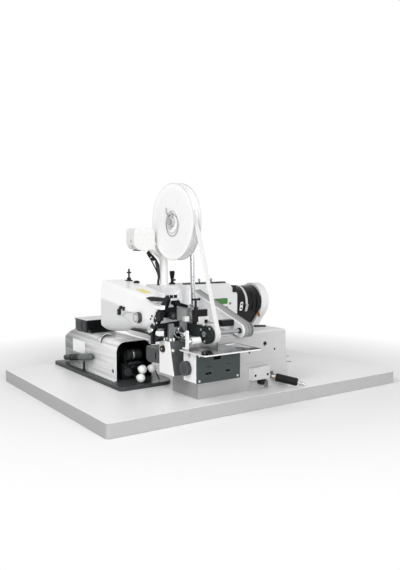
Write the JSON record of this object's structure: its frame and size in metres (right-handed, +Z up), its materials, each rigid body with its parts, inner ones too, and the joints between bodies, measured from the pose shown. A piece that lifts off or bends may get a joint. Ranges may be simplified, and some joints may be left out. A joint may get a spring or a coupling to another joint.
{
  "type": "blind stitch machine",
  "caption": "Table-mounted blind stitch sewing machine with a tape reel and feed, an open curved-needle mechanism, an arm motor and a side drive unit.",
  "frame": {"origin": "centre of the table plate's underside", "axes": "+X to the operator's right along the table, +Y away from the operator, +Z up"},
  "size_m": [1.1, 0.86, 0.663],
  "materials": {
    "table_top": "light grey laminate",
    "base_plate": "dark satin paint",
    "cover_sheet": "smooth light grey paint",
    "grey_casting": "light grey enamel",
    "white_casting": "white enamel",
    "arm_casting": "light grey enamel",
    "housing_grey": "dark grey paint",
    "cover_dark": "dark grey-green paint",
    "frame_dark": "blackened steel",
    "bracket_grey": "mid grey paint",
    "motor_black": "black enamel",
    "black_plastic": "black moulded plastic",
    "white_plastic": "white moulded plastic",
    "reel_plastic": "milky clear plastic",
    "steel": "machined",
    "plate_steel": "ground",
    "screw_heads": "bright zinc",
    "grip_rubber": "ribbed black grip",
    "tape_cloth": "white woven tape",
    "tape_wound": "white tape, wound",
    "cable_black": "black cable sheath"
  },
  "bodies": {
    "machine": {"table_plate": "table_top", "left_base_plate": "base_plate", "motor_cover": "cover_sheet", "control_box": "black_plastic", "control_box_lid": "cover_sheet", "cable_connector": "black_plastic", "drive_motor": "frame_dark", "bed_casting": "grey_casting", "bed_end_cover": "grey_casting", "bed_cap": "black_plastic", "column_housing": "housing_grey", "column_side_plate": "white_casting", "side_housing": "housing_grey", "metering_box": "white_casting", "metering_cover": "cover_dark", "cover_screws": "screw_heads", "work_plate": "plate_steel", "plate_insert": "plate_steel", "head_casting": "white_casting", "head_clip": "black_plastic", "thread_guides": "frame_dark", "arm_casting": "arm_casting", "motor_body": "motor_black", "motor_band": "steel", "belt_guard": "white_casting", "link_cover": "white_casting", "feed_carrier": "cover_dark", "guide_post": "frame_dark", "guide_block": "white_plastic", "roller_bracket": "white_casting", "tape": "tape_cloth", "reel_post": "steel", "mechanism_frame": "frame_dark", "frame_bracket": "bracket_grey", "guard_sheet": "bracket_grey", "lamp_post": "white_casting", "lamp_cable": "cable_black"},
    "drive_pulley": {"drive_pulley": "steel"},
    "ball_knob_1": {"clamp_knob_1": "white_plastic"},
    "ball_knob_2": {"clamp_knob_2": "white_plastic"},
    "ball_knob_3": {"clamp_knob_3": "white_plastic"},
    "bed_dial": {"bed_knob": "black_plastic"},
    "hand_lever": {"lever_shaft": "steel", "lever_grip": "grip_rubber"},
    "column_dial": {"column_knob": "black_plastic"},
    "metering_dial": {"metering_knob": "black_plastic"},
    "tension_wheel": {"thumbwheel": "black_plastic"},
    "arm_shaft": {"arm_pulley": "steel"},
    "feed": {"feed_wheel": "white_plastic", "feed_shaft": "steel"},
    "roller": {"guide_roller": "white_plastic"},
    "reel": {"reel_flange_left": "reel_plastic", "reel_flange_right": "reel_plastic", "tape_roll": "tape_wound"},
    "needle": {"needle_lever": "steel", "curved_needle": "steel"},
    "adjuster": {"adjusting_knob": "black_plastic"},
    "guide_clamp": {"thumbscrew": "black_plastic"},
    "lamp": {"lamp_head": "white_plastic"},
    "clamp_handle": {"ball_lever": "black_plastic"}
  },
  "joints": [
    {"name": "drive_pulley_turn", "type": "hinge", "parent": "machine", "child": "drive_pulley", "pos_m": [-0.273, -0.016, 0.126], "axis": [1, 0, 0], "continuous": true},
    {"name": "ball_knob_1_turn", "type": "hinge", "parent": "machine", "child": "ball_knob_1", "pos_m": [-0.279, -0.1, 0.093], "axis": [0, 1, 0], "continuous": true},
    {"name": "ball_knob_2_turn", "type": "hinge", "parent": "machine", "child": "ball_knob_2", "pos_m": [-0.285, -0.1, 0.0665], "axis": [0, 1, 0], "continuous": true},
    {"name": "ball_knob_3_turn", "type": "hinge", "parent": "machine", "child": "ball_knob_3", "pos_m": [-0.245, -0.1, 0.092], "axis": [0, 1, 0], "continuous": true},
    {"name": "bed_dial_turn", "type": "hinge", "parent": "machine", "child": "bed_dial", "pos_m": [0.013, -0.312, 0.058], "axis": [0, 1, 0], "range_deg": [-150, 150]},
    {"name": "hand_lever_lift", "type": "hinge", "parent": "machine", "child": "hand_lever", "pos_m": [0.036, -0.326, 0.077], "axis": [1, 0, 0], "range_deg": [-35, 0]},
    {"name": "column_dial_turn", "type": "hinge", "parent": "machine", "child": "column_dial", "pos_m": [-0.294, -0.247, 0.18], "axis": [1, 0, 0], "range_deg": [-150, 150]},
    {"name": "metering_dial_turn", "type": "hinge", "parent": "machine", "child": "metering_dial", "pos_m": [-0.28, -0.354, 0.14], "axis": [1, 0, 0], "range_deg": [-150, 150]},
    {"name": "tension_wheel_turn", "type": "hinge", "parent": "machine", "child": "tension_wheel", "pos_m": [-0.323, -0.1615, 0.264], "axis": [1, 0, 0], "continuous": true},
    {"name": "arm_shaft_turn", "type": "hinge", "parent": "machine", "child": "arm_shaft", "pos_m": [0.098, -0.032, 0.276], "axis": [1, 0, 0], "continuous": true},
    {"name": "feed_turn", "type": "hinge", "parent": "machine", "child": "feed", "pos_m": [-0.2, -0.357, 0.23], "axis": [1, 0, 0], "continuous": true},
    {"name": "roller_turn", "type": "hinge", "parent": "machine", "child": "roller", "pos_m": [-0.26, -0.34, 0.211], "axis": [1, 0, 0], "continuous": true},
    {"name": "reel_turn", "type": "hinge", "parent": "machine", "child": "reel", "pos_m": [-0.196, -0.167, 0.547], "axis": [1, 0, 0], "continuous": true},
    {"name": "needle_swing", "type": "hinge", "parent": "machine", "child": "needle", "pos_m": [-0.25, -0.264, 0.235], "axis": [0, 1, 0], "range_deg": [-12, 12]},
    {"name": "adjuster_turn", "type": "hinge", "parent": "machine", "child": "adjuster", "pos_m": [-0.283, -0.264, 0.278], "axis": [0, 1, 0], "range_deg": [-150, 150]},
    {"name": "guide_clamp_turn", "type": "hinge", "parent": "machine", "child": "guide_clamp", "pos_m": [-0.213, -0.296, 0.292], "axis": [0, 0, 1], "continuous": true},
    {"name": "lamp_tilt", "type": "hinge", "parent": "machine", "child": "lamp", "pos_m": [-0.235, -0.056, 0.478], "axis": [0, 1, 0], "range_deg": [-35, 8]},
    {"name": "clamp_handle_turn", "type": "hinge", "parent": "machine", "child": "clamp_handle", "pos_m": [-0.127, -0.032, 0.348], "axis": [0, 0, 1], "range_deg": [-90, 90]}
  ],
  "couplings": [
    {"joint": "reel_turn", "follows": "feed_turn", "ratio": 0.3}
  ]
}
